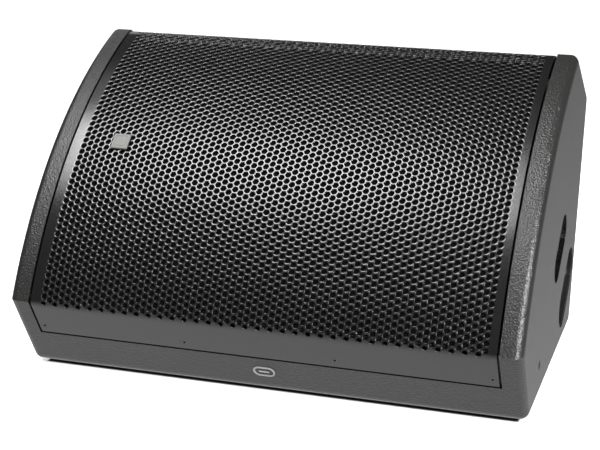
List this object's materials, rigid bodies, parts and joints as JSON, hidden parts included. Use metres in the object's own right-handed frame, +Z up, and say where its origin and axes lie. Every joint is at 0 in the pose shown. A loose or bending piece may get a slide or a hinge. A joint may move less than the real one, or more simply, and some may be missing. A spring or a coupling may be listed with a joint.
{
  "type": "stage monitor wedge",
  "caption": "Low two-way stage monitor speaker: plywood wedge cabinet with a curved perforated steel grille, oval pole-mount and connector recesses and a pocket handle.",
  "frame": {"origin": "on the floor under the middle of the whole object, level with the underside of the rubber feet", "axes": "+X to the cabinet's right seen from the front, +Y from the grille to the back, +Z up"},
  "size_m": [0.572, 0.397, 0.3382],
  "materials": {
    "cabinet_paint": "black textured water-based paint on birch plywood, orange-peel grain, satin",
    "birch_ply": "plywood stained black, matt",
    "grille_coat": "black powder coat on perforated steel, semi-gloss",
    "grille_foam": "open-cell black foam",
    "foam_tape": "closed-cell foam tape, matt",
    "badge_metal": "blank brushed plate with bevelled edges",
    "emblem_print": "plain light outline, satin",
    "black_screw": "black oxide",
    "rubber": "matt black rubber",
    "cast_frame": "cast, painted black",
    "paper_cone": "pressed paper pulp, matt black",
    "coil_former": "former with copper winding",
    "magnet_steel": "zinc plated",
    "ferrite": "sintered ferrite, matt",
    "horn_plastic": "moulded, fine texture",
    "diaphragm": "thin metal dome",
    "dish_plastic": "moulded, fine texture",
    "socket_plastic": "glass-filled nylon, semi-gloss",
    "selector_knob": "grey moulded knob",
    "cup_steel": "black powder coat",
    "insert_steel": "blackened zinc plate",
    "grip_rubber": "soft-touch ribbed grip",
    "board": "glass-fibre board with green lacquer",
    "standoff": "turned",
    "copper": "enamelled copper wire on bobbins",
    "capacitor_film": "film capacitors",
    "resistor_body": "cement resistors",
    "lead_pvc": "soft PVC-covered leads",
    "wadding": "polyester wadding"
  },
  "bodies": {
    "cabinet": {"back_panel": "cabinet_paint", "baffle": "birch_ply", "board_screws": "black_screw", "board_standoffs": "standoff", "bottom_panel": "cabinet_paint", "connector_dish": "dish_plastic", "crossover_board": "board", "crossover_capacitors": "capacitor_film", "crossover_coils": "copper", "crossover_resistors": "resistor_body", "damping_wadding": "wadding", "foot_screws": "black_screw", "front_rail": "cabinet_paint", "grille": "grille_coat", "grille_badge": "badge_metal", "grille_foam": "grille_foam", "grille_screws": "black_screw", "grille_tape": "foam_tape", "handle_bar": "grip_rubber", "handle_screws": "black_screw", "handle_tray": "dish_plastic", "hf_back_cover": "horn_plastic", "hf_clamp_ring": "diaphragm", "hf_front_plate": "magnet_steel", "hf_magnet": "ferrite", "hf_rear_plate": "magnet_steel", "hf_suspension": "diaphragm", "horn": "horn_plastic", "horn_screws": "black_screw", "inner_brace": "birch_ply", "inner_wiring": "lead_pvc", "pole_cup": "cup_steel", "pole_cup_screws": "black_screw", "port_tubes": "horn_plastic", "rail_emblem": "emblem_print", "rubber_feet": "rubber", "selector_body": "socket_plastic", "side_panel_left": "cabinet_paint", "side_panel_right": "cabinet_paint", "speaker_socket_lower": "socket_plastic", "speaker_socket_upper": "socket_plastic", "threaded_inserts": "insert_steel", "top_panel": "cabinet_paint", "woofer_back_plate": "magnet_steel", "woofer_basket": "cast_frame", "woofer_gasket": "rubber", "woofer_magnet": "ferrite", "woofer_screws": "black_screw", "woofer_spider": "paper_cone", "woofer_surround": "rubber", "woofer_top_plate": "magnet_steel"},
    "woofer_moving": {"woofer_cone": "paper_cone", "dust_cap": "paper_cone", "voice_coil": "coil_former"},
    "hf_moving": {"hf_diaphragm": "diaphragm"},
    "selector": {"selector_knob": "selector_knob"}
  },
  "joints": [
    {"name": "woofer_travel", "type": "slide", "parent": "cabinet", "child": "woofer_moving", "axis": [0, -0.6213, 0.7836], "range_m": [-0.005, 0.005], "stiffness_N_per_m": 6000, "deforming": ["woofer_surround", "woofer_spider"]},
    {"name": "hf_travel", "type": "slide", "parent": "cabinet", "child": "hf_moving", "axis": [0, -0.6213, 0.7836], "range_m": [-0.0004, 0.0004], "stiffness_N_per_m": 5000, "deforming": ["hf_suspension"]},
    {"name": "selector_turn", "type": "hinge", "parent": "cabinet", "child": "selector", "pos_m": [0.241, 0.11323, 0.08722], "axis": [1, 0, 0], "range_deg": [0, 60]}
  ]
}
